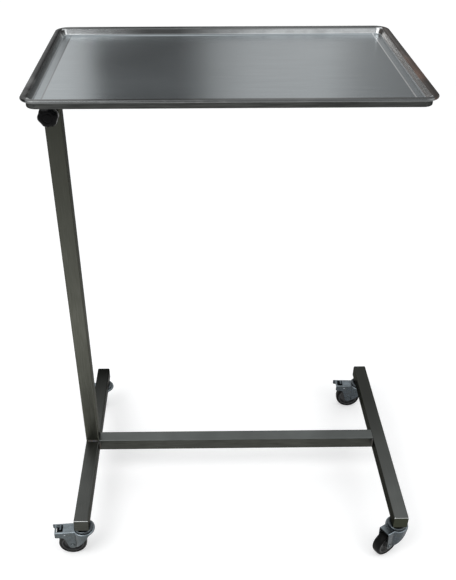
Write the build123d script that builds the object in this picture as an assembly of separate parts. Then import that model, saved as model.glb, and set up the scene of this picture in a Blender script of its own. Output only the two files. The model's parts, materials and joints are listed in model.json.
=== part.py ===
from build123d import *
import math
import os

# Mayo instrument stand: a shallow pressed tray in an angle frame, carried on one
# side by a square mast that slides in a fixed column, on an H-shaped base of
# square tube with four swivel casters.
# Millimetres. While it is built, x = y = 0 is the column's axis, the floor is z = 0,
# -Y is the front and the tray reaches out along +X.

# Base frame
tube_side = 30.0
tube_wall = 1.5
tube_corner = 2.5
side_tube_spacing = 670.0
side_tube_length = 500.0
end_plate_thickness = 2.0
caster_inset = 20.0
socket_radius = 9.0
weld_leg = 3.0
weld_hollow = 0.86

# Column and mast
column_length = 820.0
mast_side = 25.0
mast_wall = 1.5
mast_corner = 2.0
mast_length = 640.0
bush_flange = 3.0
bush_depth = 20.0
glide_thickness = 10.0
glide_spigot = 14.0
slide_gap = 0.1

# Clamp screw
clamp_drop = 30.0
stud_radius = 4.0
stud_length = 34.0
boss_radius = 9.0
boss_length = 8.0
tip_radius = 2.5
tip_length = 7.35
tip_reach = 1.35
knob_radius = 18.0
knob_length = 23.0
knob_neck_radius = 9.0
knob_neck_length = 5.0
knob_lobes = 6
knob_scallop_radius = 20.0
knob_scallop_depth = 1.5
knob_socket_depth = 14.0
knob_lobe_rounding = 2.2
knob_back_bevel = 2.5
knob_dome = 5.0

# Tray
tray_length = 620.0
tray_width = 400.0
tray_depth = 13.0
sheet = 1.0
bead_radius = 2.2
tray_corner = 25.0
flange_width = 11.0
flange_fall = 0.8
wall_run = 3.5
wall_foot = 4.5
border_width = 9.0
border_fall = 1.0
flange_bend = 2.5
foot_bend = 3.5
tray_overhang = 12.0

# Tray frame, arms and head plate
frame_inset = 8.0
frame_thickness = 2.0
frame_ledge = 22.0
frame_lip_gap = 2.5
rest_gap = 0.3
arm_side = 20.0
arm_wall = 1.5
arm_corner = 1.5
arm_spacing = 64.0
plug_depth = 10.0
head_thickness = 5.0
head_reach = 78.0
head_margin = 6.0
head_clearance = 6.7

# Casters
caster_height = 84.0
wheel_radius = 30.0
tyre_width = 20.0
tyre_shoulder = 4.5
core_radius = 24.0
core_width = 17.0
hub_radius = 9.0
trail = 26.0
fork_width = 28.0
fork_sheet = 2.0
fork_head_radius = 24.0
fork_tyre_gap = 10.0
nose_lip = 4.0
brow_set_back = 12.0
brow_rounding = 6.0
knee_offset = 2.0
knee_height = 48.5
knee_rounding = 12.0
flange_depth = 16.0
flange_rise = 3.0
flange_rounding = 4.0
lobe_shoulder = 8.0
hood_rounding = 3.0
hood_lip = 8.0
hood_short = 36.0
hood_long = 61.0
flange_reach = 5.0
lobe_radius = 8.0
axle_radius = 3.0
axle_head_radius = 5.0
axle_head_height = 1.8
kingpin_radius = 4.0
kingpin_head_radius = 7.0
kingpin_head_height = 3.0
race_lip_radius = 18.6
race_lip_height = 3.0
race_lip_wall = 1.8
ball_radius = 2.0
ball_ring_radius = 12.5
ball_count = 10
cap_radius = 20.6
cap_wall = 1.6
cap_lift = 1.2
hex_across_flats = 17.0
thread_radius = 5.0
thread_length = 21.0
window_length = 14.0
window_width = 19.0
window_bridge = 3.5
window_corner = 1.5
lever_width = 12.0
lever_pin_radius = 1.5
lever_pin_setback = 21.0
lever_hub_radius = 3.2
lever_blade = 3.0
lever_tab_height = 4.0
lever_tab_length = 6.0
lever_tab_taper = 1.4
shoe_gap = 3.0
shoe_depth = 9.0
shoe_reach = 7.0
caster_turns = {"front_left": 184.0, "front_right": 212.0, "back_left": 181.0, "back_right": 178.0}
braked_casters = ("front_left", "back_right")

# Fits
running_gap = 0.05
seat_gap = 0.02
part_gap = 0.3

# Levels worked out from the sizes above
base_underside = caster_height
base_top = base_underside + tube_side
column_top = base_top + column_length
mast_top = column_top + bush_flange + head_clearance
arm_underside = mast_top + head_thickness
arm_top = arm_underside + arm_side
frame_top_of_ledge = arm_top + frame_thickness
tray_underside = frame_top_of_ledge + rest_gap
rim_level = tray_underside + tray_depth
tray_centre_x = tray_length / 2 - tray_overhang
clamp_level = column_top - clamp_drop
hood_underside = 2 * wheel_radius + fork_tyre_gap
hood_top = hood_underside + fork_sheet
race_cap_top = hood_top + 2 * running_gap + 2 * ball_radius + cap_wall
stem_hole_radius = thread_radius + running_gap


def square_tube(side, wall, corner, length):
    """A hollow square section standing on z = 0."""
    outside = RectangleRounded(side, side, corner)
    inside = RectangleRounded(side - 2 * wall, side - 2 * wall, max(corner - wall, 0.4))
    return extrude(outside - inside, length)


def rounded_block(length, width, corner, low, high):
    """An upright block with rounded corners between two levels."""
    return Pos(0, 0, low) * extrude(RectangleRounded(length, width, corner), high - low)


def cylinder_between(radius, low, high):
    """An upright cylinder on the local axis between two levels."""
    return Pos(0, 0, (low + high) / 2) * Cylinder(radius, high - low)


def ring_between(outer, inner, low, high):
    """An upright ring on the local axis between two levels."""
    return cylinder_between(outer, low, high) - cylinder_between(inner, low - 1, high + 1)


def rod_along_y(radius, start, end):
    """A round rod along Y between two places."""
    return Pos(0, (start + end) / 2, 0) * Rot(90, 0, 0) * Cylinder(radius, abs(end - start))


def box_between(low, high):
    """A plain box given by its lowest and highest corners."""
    size = [high[axis] - low[axis] for axis in range(3)]
    middle = [(high[axis] + low[axis]) / 2 for axis in range(3)]
    return Pos(*middle) * Box(*size)


# Base frame: two side tubes, a cross tube and closed ends.

def side_tube(x):
    """A side tube with holes in its underside for the caster stems."""
    inner_length = side_tube_length - 2 * end_plate_thickness
    tube = square_tube(tube_side, tube_wall, tube_corner, inner_length)
    tube = Pos(x, inner_length / 2, base_underside + tube_side / 2) * Rot(90, 0, 0) * tube
    for y in (-stem_y, stem_y):
        hole = cylinder_between(stem_hole_radius, base_underside - 1, base_underside + tube_wall + 1)
        tube -= Pos(x, y, 0) * hole
    return tube


def cross_tube():
    """The tube between the side tubes, flush with them above and below."""
    length = side_tube_spacing - tube_side
    tube = square_tube(tube_side, tube_wall, tube_corner, length)
    return Pos(tube_side / 2, 0, base_underside + tube_side / 2) * Rot(0, 90, 0) * tube


def end_plates():
    """Four plates that close the side tubes, with softened outer edges."""
    plates = []
    for x in (0, side_tube_spacing):
        for end in (-1, 1):
            plate = extrude(RectangleRounded(tube_side, tube_side, tube_corner), end_plate_thickness)
            outer = plate.faces().sort_by(Axis.Z)[-1]
            plate = fillet(outer.edges(), end_plate_thickness * 0.5)
            inner_face = end * (side_tube_length / 2 - end_plate_thickness)
            place = Pos(x, inner_face, base_underside + tube_side / 2)
            plates.append(place * Rot(-90 * end, 0, 0) * plate)
    return plates


def stem_sockets():
    """Threaded bushes that stand inside the side tubes above each caster."""
    low = base_underside + tube_wall
    high = base_top - tube_wall
    sockets = []
    for x, y in caster_places.values():
        socket = cylinder_between(socket_radius, low, high)
        socket -= cylinder_between(stem_hole_radius, low - 1, base_underside + thread_length + 1)
        sockets.append(Pos(x, y, 0) * socket)
    return sockets


def weld_bead(side_x, side_y, length):
    """An upright concave bead in the corner at the local axis, spreading to the sides given."""
    corner = Polygon((0, 0), (side_x * weld_leg, 0), (0, side_y * weld_leg), align=None)
    hollow = Pos(side_x * weld_leg, side_y * weld_leg) * Circle(weld_leg * weld_hollow)
    return extrude(corner - hollow, length / 2, both=True)


def base_welds():
    """Beads at the column's foot and up the corners of the cross tube."""
    run = tube_side - 2 * tube_corner
    level = base_underside + tube_side / 2
    welds = []
    for side in (-1, 1):
        welds.append(Pos(0, side * tube_side / 2, base_top) * Rot(0, 90, 0) * weld_bead(-1, side, run))
        for x, inward in ((tube_side / 2, 1), (side_tube_spacing - tube_side / 2, -1)):
            welds.append(Pos(x, side * tube_side / 2, level) * weld_bead(inward, side, run))
    return welds


# Column, mast and clamp.

def column_tube():
    """The outer upright, with a hole for the clamp screw near its top."""
    tube = Pos(0, 0, base_top) * square_tube(tube_side, tube_wall, tube_corner, column_length)
    hole = rod_along_y(stud_radius + 2 * part_gap, -tube_side / 2 - 1, -tube_side / 2 + tube_wall + 1)
    return tube - Pos(0, 0, clamp_level) * hole


def column_bush():
    """The plastic guide in the column's mouth, with a flange on top."""
    bore = mast_side + 2 * slide_gap
    flange = rounded_block(tube_side, tube_side, tube_corner, column_top, column_top + bush_flange)
    flange = chamfer(flange.faces().sort_by(Axis.Z)[-1].edges(), 0.6)
    inside = tube_side - 2 * tube_wall - 2 * running_gap
    sleeve = rounded_block(inside, inside, tube_corner - tube_wall, column_top - bush_depth, column_top)
    cut = rounded_block(bore, bore, mast_corner, column_top - bush_depth - 1, column_top + bush_flange + 1)
    return flange + sleeve - cut


def clamp_boss():
    """The threaded boss welded to the column's front face."""
    boss = rod_along_y(boss_radius, -tube_side / 2, -tube_side / 2 - boss_length)
    boss = chamfer(boss.faces().sort_by(Axis.Y)[0].edges(), 1.0)
    boss -= rod_along_y(stud_radius + running_gap, 1, -tube_side / 2 - boss_length - 1)
    return Pos(0, 0, clamp_level) * boss


def mast_tube():
    """The inner upright that carries the tray frame."""
    return Pos(0, 0, mast_top - mast_length) * square_tube(mast_side, mast_wall, mast_corner, mast_length)


def mast_glide():
    """The plastic plug at the mast's foot that guides it in the column."""
    side = tube_side - 2 * tube_wall - 2 * slide_gap
    foot = mast_top - mast_length
    shoe = rounded_block(side, side, mast_corner, foot - glide_thickness, foot)
    shoe = chamfer(shoe.faces().sort_by(Axis.Z)[0].edges(), 1.0)
    plug_side = mast_side - 2 * mast_wall - 2 * running_gap
    plug = rounded_block(plug_side, plug_side, mast_corner - mast_wall + 0.4, foot, foot + glide_spigot)
    return shoe + plug


tip_front = -mast_side / 2 - slide_gap
stud_front = tip_front - tip_reach
knob_back = stud_front - stud_length + knob_socket_depth


def clamp_tip():
    """The nylon tip that presses on the mast and doesn't turn with the screw."""
    tip = rod_along_y(tip_radius, tip_front, tip_front - tip_length)
    tip = chamfer(tip.faces().sort_by(Axis.Y)[-1].edges(), 0.4)
    return Pos(0, 0, clamp_level) * tip


def clamp_stud():
    """The clamp screw, bored at its end for the tip."""
    stud = rod_along_y(stud_radius, stud_front, stud_front - stud_length)
    stud = chamfer(stud.faces().sort_by(Axis.Y)[-1].edges(), 0.6)
    stud -= rod_along_y(tip_radius + running_gap, stud_front + 1, tip_front - tip_length - part_gap)
    return Pos(0, 0, clamp_level) * stud


def clamp_knob():
    """The lobed hand knob: a domed round body scalloped between its lobes, on a neck."""
    lobes = Circle(knob_radius)
    for i in range(knob_lobes):
        angle = 360.0 * (i + 0.5) / knob_lobes
        reach = knob_radius + knob_scallop_radius - knob_scallop_depth
        lobes -= Rot(0, 0, angle + 90) * Pos(reach, 0) * Circle(knob_scallop_radius)
    lobes = fillet(lobes.vertices(), knob_lobe_rounding)
    head_start = knob_neck_length
    body = Pos(0, 0, head_start) * extrude(lobes, knob_length - head_start)
    side_top = knob_length - knob_dome
    outline = Polyline((0, head_start), (knob_radius - knob_back_bevel, head_start),
                       (knob_radius, head_start + knob_back_bevel), (knob_radius, side_top))
    crown = ThreePointArc((knob_radius, side_top), (knob_radius * 0.8, knob_length - knob_dome * 0.36),
                          (knob_radius * 0.45, knob_length))
    closing = Polyline((knob_radius * 0.45, knob_length), (0, knob_length), (0, head_start))
    dome = revolve(Plane.XZ * make_face([outline, crown, closing]), Axis.Z)
    neck = cylinder_between(knob_neck_radius, 0, head_start + 1)
    knob = (body & dome) + neck
    knob -= cylinder_between(stud_radius + seat_gap, -1, knob_socket_depth)
    return Pos(0, knob_back, clamp_level) * Rot(90, 0, 0) * knob


# Tray, frame and arms.

def rim_section():
    """Bead, flange, wall and foot of the tray in section: x is measured out from the corner's
    centre line and y is height below the rim."""
    half = sheet / 2
    start = (bead_radius, -half)
    bend = (flange_width, -half - flange_fall)
    foot = (flange_width + wall_run, -tray_depth + border_fall + half)
    end = (flange_width + wall_run + wall_foot, foot[1])
    middle = FilletPolyline(start, bend, foot, end, radius=[flange_bend, foot_bend])
    strip = trace(middle, sheet)
    trim = Rectangle(tray_corner, 2 * tray_depth, align=(Align.MIN, Align.CENTER))
    strip -= Pos(end[0], foot[1]) * trim
    strip -= Pos(start[0] - tray_corner, start[1]) * trim
    bead = Pos(bead_radius, -bead_radius) * (Circle(bead_radius) - Circle(bead_radius - sheet))
    section = strip + bead
    return mirror(section, Plane.YZ)


def tray():
    """The pressed tray: beaded rim and steep walls round a floor set down by a shallow crease."""
    section = Plane.XZ * Pos(tray_corner, 0) * rim_section()
    half_length = tray_length / 2 - tray_corner
    half_width = tray_width / 2 - tray_corner
    rim = []
    for i in range(4):
        turn = Rot(0, 0, 90 * i)
        reach, run = (half_length, half_width) if i % 2 == 0 else (half_width, half_length)
        rim.append(turn * Pos(reach, 0, 0) * extrude(section, run, both=True))
        rim.append(turn * Pos(reach, run, 0) * revolve(section, Axis.Z, 90))
    inset = flange_width + wall_run + wall_foot
    outline = RectangleRounded(tray_length - 2 * inset, tray_width - 2 * inset, tray_corner - inset)
    crease_inset = inset + border_width
    crease = RectangleRounded(tray_length - 2 * crease_inset, tray_width - 2 * crease_inset, 2.0)
    low = -tray_depth
    border_low = low + border_fall
    slab = Pos(0, 0, border_low) * extrude(outline, sheet)
    belly = loft([Pos(0, 0, border_low) * outline, Pos(0, 0, low) * crease], ruled=True)
    hollow = loft([Pos(0, 0, border_low + sheet) * outline, Pos(0, 0, low + sheet) * crease], ruled=True)
    whole = slab + belly - hollow
    for piece in rim:
        whole += piece
    return Pos(tray_centre_x, 0, rim_level) * whole


def tray_frame():
    """The angle frame that the tray drops into: an upright lip round a flat ledge."""
    length = tray_length - 2 * frame_inset
    width = tray_width - 2 * frame_inset
    corner = tray_corner - frame_inset
    wall = 2 * frame_thickness
    body = rounded_block(length, width, corner, arm_top, rim_level - frame_lip_gap)
    body = fillet(body.faces().sort_by(Axis.Z)[0].edges(), frame_thickness * 0.6)
    inner_corner = corner - frame_thickness
    body -= rounded_block(length - wall, width - wall, inner_corner, frame_top_of_ledge, rim_level)
    ledge = 2 * frame_ledge
    body -= rounded_block(length - ledge, width - ledge, 3.0, arm_top - 1, rim_level)
    return Pos(tray_centre_x, 0, 0) * body


def support_arm(side):
    """One of the two tubes that run out under the frame from the head plate."""
    tube = square_tube(arm_side, arm_wall, arm_corner, arm_length)
    start = tray_centre_x - arm_length / 2
    return Pos(start, side * arm_spacing / 2, arm_underside + arm_side / 2) * Rot(0, 90, 0) * tube


def arm_plugs():
    """Plastic plugs that close the four ends of the arms."""
    inside = arm_side - 2 * arm_wall - 2 * running_gap
    plugs = []
    for side in (-1, 1):
        for end in (-1, 1):
            face = extrude(RectangleRounded(arm_side, arm_side, arm_corner), arm_wall)
            face = chamfer(face.faces().sort_by(Axis.Z)[-1].edges(), 0.5)
            spigot = Pos(0, 0, -plug_depth) * extrude(RectangleRounded(inside, inside, 0.5), plug_depth)
            arm_end = tray_centre_x + end * arm_length / 2
            place = Pos(arm_end, side * arm_spacing / 2, arm_underside + arm_side / 2)
            plugs.append(place * Rot(0, 90 * end, 0) * (face + spigot))
    return plugs


def head_plate():
    """The plate on top of the mast that the arms are welded to."""
    width = arm_spacing + arm_side + 2 * head_margin
    start = -mast_side / 2 - 1.0
    plate = rounded_block(head_reach, width, 6.0, mast_top, arm_underside)
    return Pos(start + head_reach / 2, 0, 0) * plate


# Casters. Each is built on its own swivel axis with the wheel trailing along +X.

wheel_axis_x = trail
lever_pin_x = hood_long - lever_pin_setback
lever_pin_z = hood_underside - lever_hub_radius - 0.8
window_start = hood_long - window_bridge - window_length


def caster_stem():
    """Thread, hexagon and king pin in one turned piece, riveted over under the fork."""
    stem = cylinder_between(thread_radius, caster_height - 1, caster_height + thread_length)
    stem = chamfer(stem.faces().sort_by(Axis.Z)[-1].edges(), 1.0)
    hexagon = RegularPolygon(hex_across_flats / 2, 6, major_radius=False)
    hexagon = Pos(0, 0, race_cap_top + seat_gap) * extrude(hexagon, caster_height - race_cap_top - seat_gap)
    stem += chamfer(hexagon.faces().sort_by(Axis.Z)[0].edges(), 0.6)
    stem += cylinder_between(kingpin_radius, hood_underside - part_gap - 1, caster_height)
    head_top = hood_underside - part_gap
    head = cylinder_between(kingpin_head_radius, head_top - kingpin_head_height, head_top)
    head = fillet(head.faces().sort_by(Axis.Z)[0].edges(), kingpin_head_height * 0.6)
    return stem + head


def race_cap():
    """The pressed upper race, a dish turned down over the fork's lip."""
    cap = cylinder_between(cap_radius, hood_top + cap_lift, race_cap_top)
    cap = fillet(cap.faces().sort_by(Axis.Z)[-1].edges(), cap_wall)
    cap -= cylinder_between(cap_radius - cap_wall, hood_top, race_cap_top - cap_wall)
    return cap - cylinder_between(kingpin_radius + seat_gap, hood_top, race_cap_top + 1)


def race_balls():
    """The ring of balls between the two races."""
    level = hood_top + running_gap + ball_radius
    return [Rot(0, 0, 360.0 * i / ball_count) * Pos(ball_ring_radius, 0, level) * Sphere(ball_radius)
            for i in range(ball_count)]


def tangent_point(point, centre, radius, side):
    """Where a line from a point touches a circle, on the side asked for."""
    away = math.hypot(point[0] - centre[0], point[1] - centre[1])
    heading = math.atan2(point[1] - centre[1], point[0] - centre[0])
    angle = heading + side * math.acos(radius / away)
    return (centre[0] + radius * math.cos(angle), centre[1] + radius * math.sin(angle))


def fork_side(braked):
    """The outline of a cheek seen from the side: hood, rear edge, axle lobe and sloped front."""
    top = hood_top + 1
    axle = (wheel_axis_x, wheel_radius)
    nose = -fork_head_radius - 1
    brow = (-brow_set_back, hood_top - nose_lip)
    knee = (knee_offset, knee_height)
    if braked:
        corner = (axle[0] + lobe_radius + lobe_shoulder, hood_top - flange_depth)
        end = (hood_long + flange_reach, corner[1] + flange_rise)
        rear = [corner, end, (end[0], top)]
        rounded = {corner: lobe_shoulder, end: flange_rounding}
    else:
        corner = (hood_short, hood_top - hood_lip)
        rear = [corner, (corner[0], top)]
        rounded = {corner: hood_rounding}
    front_touch = tangent_point(knee, axle, lobe_radius, 1)
    rear_touch = tangent_point(corner, axle, lobe_radius, -1)
    outline = make_face(Polyline((nose, top), (nose, brow[1]), brow, knee, front_touch, rear_touch,
                                 *rear, close=True))
    rounded[brow] = brow_rounding
    rounded[knee] = knee_rounding
    for point, radius in rounded.items():
        nearest = min(outline.vertices(), key=lambda v: math.hypot(v.X - point[0], v.Y - point[1]))
        outline = fillet(nearest, radius)
    return outline + Pos(*axle) * Circle(lobe_radius)


def caster_fork(braked):
    """The pressed fork: a channel with a hood, a rounded head and two tapering cheeks."""
    reach = hood_long + flange_reach if braked else hood_short
    half = fork_width / 2

    def plan(shrink, length):
        head = Circle(fork_head_radius - shrink)
        channel = Rectangle(length, 2 * (half - shrink), align=(Align.MIN, Align.CENTER))
        return head + channel

    outer = extrude(plan(0, reach), hood_top)
    outer_rim = outer.faces().sort_by(Axis.Z)[-1].edges().filter_by(lambda e: e.center().X < reach - 0.1)
    outer = fillet(outer_rim, fork_sheet * 1.5)
    inner = extrude(plan(fork_sheet, reach + 10), hood_underside)
    inner_rim = inner.faces().sort_by(Axis.Z)[-1].edges().filter_by(lambda e: e.center().X < reach)
    inner = fillet(inner_rim, fork_sheet * 0.5)
    side = extrude(Plane.XZ * fork_side(braked), fork_head_radius + 5, both=True)
    fork = (outer - inner) & side
    lip_top = hood_top + race_lip_height
    fork += ring_between(race_lip_radius, race_lip_radius - race_lip_wall, hood_top, lip_top)
    fork -= cylinder_between(kingpin_radius + running_gap, hood_underside - 1, hood_top + 1)
    fork -= Pos(wheel_axis_x, 0, wheel_radius) * rod_along_y(axle_radius + seat_gap, -fork_width, fork_width)
    if braked:
        beyond = (reach + 1, half + 1, hood_top + 1)
        fork -= box_between((hood_long, fork_sheet - half, hood_underside - 1), beyond)
        fork -= box_between((hood_long, 0, 0), beyond)
        window = extrude(RectangleRounded(window_length, window_width, window_corner), fork_sheet + 2)
        fork -= Pos(window_start + window_length / 2, 0, hood_underside - 1) * window
        pin_hole = rod_along_y(lever_pin_radius + seat_gap, -fork_width, fork_width)
        fork -= Pos(lever_pin_x, 0, lever_pin_z) * pin_hole
    return fork


def caster_axle():
    """The axle rivet with a domed head on each cheek."""
    half = fork_width / 2 + seat_gap
    axle = rod_along_y(axle_radius, -half - 0.5, half + 0.5)
    for side in (-1, 1):
        head = rod_along_y(axle_head_radius, side * half, side * (half + axle_head_height))
        outer = head.faces().sort_by(Axis.Y)[-1 if side > 0 else 0]
        axle += fillet(outer.edges(), axle_head_height * 0.8)
    return Pos(wheel_axis_x, 0, wheel_radius) * axle


def wheel_core():
    """The moulded wheel centre: hub, dished web and rim, turned about the axle."""
    bore = axle_radius + running_gap
    hub_half = fork_width / 2 - fork_sheet - 0.5
    rim_half = core_width / 2
    outline = Polyline((bore, -hub_half), (hub_radius - 1, -hub_half), (hub_radius, -hub_half + 1.5),
                       (hub_radius, -3.0), (core_radius - 4, -2.0), (core_radius - 3, -rim_half),
                       (core_radius, -rim_half), (core_radius, rim_half), (core_radius - 3, rim_half),
                       (core_radius - 4, 2.0), (hub_radius, 3.0), (hub_radius, hub_half - 1.5),
                       (hub_radius - 1, hub_half), (bore, hub_half), close=True)
    core = revolve(Plane.XY * make_face(outline), Axis.Y)
    return Pos(wheel_axis_x, 0, wheel_radius) * core


def wheel_tyre():
    """The rubber tread with rounded shoulders."""
    tyre = Rot(90, 0, 0) * Cylinder(wheel_radius, tyre_width)
    tyre = fillet(tyre.edges(), tyre_shoulder)
    tyre -= rod_along_y(core_radius + seat_gap, -tyre_width, tyre_width)
    return Pos(wheel_axis_x, 0, wheel_radius) * tyre


def brake_lever():
    """The brake lever under the hood: hub, foot tab standing in the window, and a shoe
    hollowed to clear the tyre."""
    high = hood_underside - 0.8
    shoe_end = lever_pin_x + shoe_reach + 2
    tip = window_start + window_length - 0.8
    body = Polygon((lever_pin_x, high), (tip, high), (tip, high - lever_blade),
                   (shoe_end, high - shoe_depth), (shoe_end, wheel_radius), (lever_pin_x, wheel_radius),
                   (lever_pin_x - lever_hub_radius, lever_pin_z), align=None)
    tab_start = window_start + 2.0
    tab_end = tab_start + lever_tab_length
    tab_top = hood_top + lever_tab_height
    tab = Polygon((tab_start, high - lever_blade), (tab_end, high - lever_blade),
                  (tab_end - lever_tab_taper, tab_top), (tab_start + lever_tab_taper, tab_top), align=None)
    outline = Pos(lever_pin_x, lever_pin_z) * Circle(lever_hub_radius) + body + tab
    outline -= Pos(wheel_axis_x, wheel_radius) * Circle(wheel_radius + shoe_gap)
    outline -= Pos(lever_pin_x, lever_pin_z) * Circle(lever_pin_radius + running_gap)
    return extrude(Plane.XZ * outline, lever_width / 2, both=True)


def brake_pin():
    """The pin across the fork that the brake lever turns on."""
    pin = rod_along_y(lever_pin_radius, -fork_width / 2 - 0.6, fork_width / 2 + 0.6)
    return Pos(lever_pin_x, 0, lever_pin_z) * pin


def caster(name):
    """Every piece of one caster, turned and put under its side tube."""
    x, y = caster_places[name]
    place = Pos(x, y, 0) * Rot(0, 0, caster_turns[name])
    braked = name in braked_casters
    made = {
        "stem": [caster_stem()],
        "race_cap": [race_cap()],
        "race_balls": race_balls(),
        "fork": [caster_fork(braked)],
        "axle": [caster_axle()],
        "wheel_core": [wheel_core()],
        "tyre": [wheel_tyre()],
    }
    if braked:
        made["brake_lever"] = [brake_lever()]
        made["brake_pin"] = [brake_pin()]
    return {name + "_" + piece: [place * solid for solid in solids] for piece, solids in made.items()}


stem_y = side_tube_length / 2 - caster_inset
arm_length = tray_length - 2 * frame_inset - 2 * arm_wall
caster_places = {
    "front_left": (0.0, -stem_y),
    "front_right": (side_tube_spacing, -stem_y),
    "back_left": (0.0, stem_y),
    "back_right": (side_tube_spacing, stem_y),
}

nodes = {
    "left_side_tube": [side_tube(0)],
    "right_side_tube": [side_tube(side_tube_spacing)],
    "cross_tube": [cross_tube()],
    "tube_end_plates": end_plates(),
    "stem_sockets": stem_sockets(),
    "base_welds": base_welds(),
    "column_tube": [column_tube()],
    "column_bush": [column_bush()],
    "clamp_boss": [clamp_boss()],
    "mast_tube": [mast_tube()],
    "mast_glide": [mast_glide()],
    "head_plate": [head_plate()],
    "front_support_arm": [support_arm(-1)],
    "back_support_arm": [support_arm(1)],
    "arm_plugs": arm_plugs(),
    "tray_frame": [tray_frame()],
    "tray": [tray()],
    "clamp_tip": [clamp_tip()],
    "clamp_stud": [clamp_stud()],
    "clamp_knob": [clamp_knob()],
}
for caster_name in caster_places:
    nodes.update(caster(caster_name))

# The origin goes to the floor, under the middle of the whole stand.
everything = Compound(children=[Compound(solid.solids()) for solids in nodes.values() for solid in solids])
box = everything.bounding_box()
shift_x = -(box.min.X + box.max.X) / 2
shift_y = -(box.min.Y + box.max.Y) / 2
shift_z = -box.min.Z
to_origin = Pos(shift_x, shift_y, shift_z)

os.makedirs("parts", exist_ok=True)
for node_name, solids in nodes.items():
    moved = [to_origin * piece for solid in solids for piece in solid.solids()]
    export_step(moved[0] if len(moved) == 1 else Compound(moved), "parts/" + node_name + ".step")

print("shift", round(shift_x, 4), round(shift_y, 4), round(shift_z, 4))
print("rim", rim_level, "clamp", clamp_level, "mast top", mast_top)
for caster_name, (x, y) in caster_places.items():
    turn = math.radians(caster_turns[caster_name])
    wheel = (x + trail * math.cos(turn), y + trail * math.sin(turn), wheel_radius)
    print(caster_name, "swivel", x, y, "wheel", [round(v, 4) for v in wheel],
          "axle direction", round(-math.sin(turn), 6), round(math.cos(turn), 6))
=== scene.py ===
import bpy
import json
import math
from mathutils import Matrix, Vector


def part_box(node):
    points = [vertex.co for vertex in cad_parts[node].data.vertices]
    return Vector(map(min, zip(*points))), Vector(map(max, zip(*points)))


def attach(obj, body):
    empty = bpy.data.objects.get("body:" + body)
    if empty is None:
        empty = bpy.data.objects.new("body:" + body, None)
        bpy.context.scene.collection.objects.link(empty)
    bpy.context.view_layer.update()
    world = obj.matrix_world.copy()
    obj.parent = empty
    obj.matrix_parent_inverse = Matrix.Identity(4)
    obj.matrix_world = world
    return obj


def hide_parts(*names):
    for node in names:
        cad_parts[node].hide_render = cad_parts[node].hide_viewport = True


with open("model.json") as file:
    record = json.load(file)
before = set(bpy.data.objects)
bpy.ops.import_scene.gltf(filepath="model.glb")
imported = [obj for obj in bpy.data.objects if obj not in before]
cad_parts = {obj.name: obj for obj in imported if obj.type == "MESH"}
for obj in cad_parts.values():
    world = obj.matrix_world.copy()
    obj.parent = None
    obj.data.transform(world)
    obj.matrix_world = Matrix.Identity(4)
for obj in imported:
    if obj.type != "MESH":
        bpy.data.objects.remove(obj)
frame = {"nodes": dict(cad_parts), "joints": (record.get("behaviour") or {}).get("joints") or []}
nodes = frame["nodes"]
joints = {joint["name"]: joint for joint in frame["joints"]}
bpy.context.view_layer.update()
mm = 0.001
casterCorners = ("front_left", "front_right", "back_left", "back_right")
brakedCorners = ("front_left", "back_right")


# numbers as sockets
class Amount:
    # a number that changes over the surface; sums with it become Math nodes
    def __init__(self, finish, socket):
        self.finish = finish
        self.socket = socket

    def __add__(self, other):
        return self.finish.reckon("ADD", self, other)

    def __sub__(self, other):
        return self.finish.reckon("SUBTRACT", self, other)

    def __rsub__(self, other):
        return self.finish.reckon("SUBTRACT", other, self)

    def __mul__(self, other):
        return self.finish.reckon("MULTIPLY", self, other)

    def __truediv__(self, other):
        return self.finish.reckon("DIVIDE", self, other)

    def __rtruediv__(self, other):
        return self.finish.reckon("DIVIDE", other, self)

    def __abs__(self):
        return self.finish.reckon("ABSOLUTE", self)

    __radd__ = __add__
    __rmul__ = __mul__


def grey(level):
    return (level, level, level, 1)


def tone(red, green, blue):
    # a colour as it is read off a screen, turned into a light value by the curve that screens use
    def linear(value):
        value /= 255
        return value / 12.92 if value <= 0.04045 else ((value + 0.055) / 1.055) ** 2.4
    return (linear(red), linear(green), linear(blue), 1)


def sway(noise, share):
    # noise runs from 0 to 1, so this goes as far down as up
    return (noise - 0.5) * share


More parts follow.
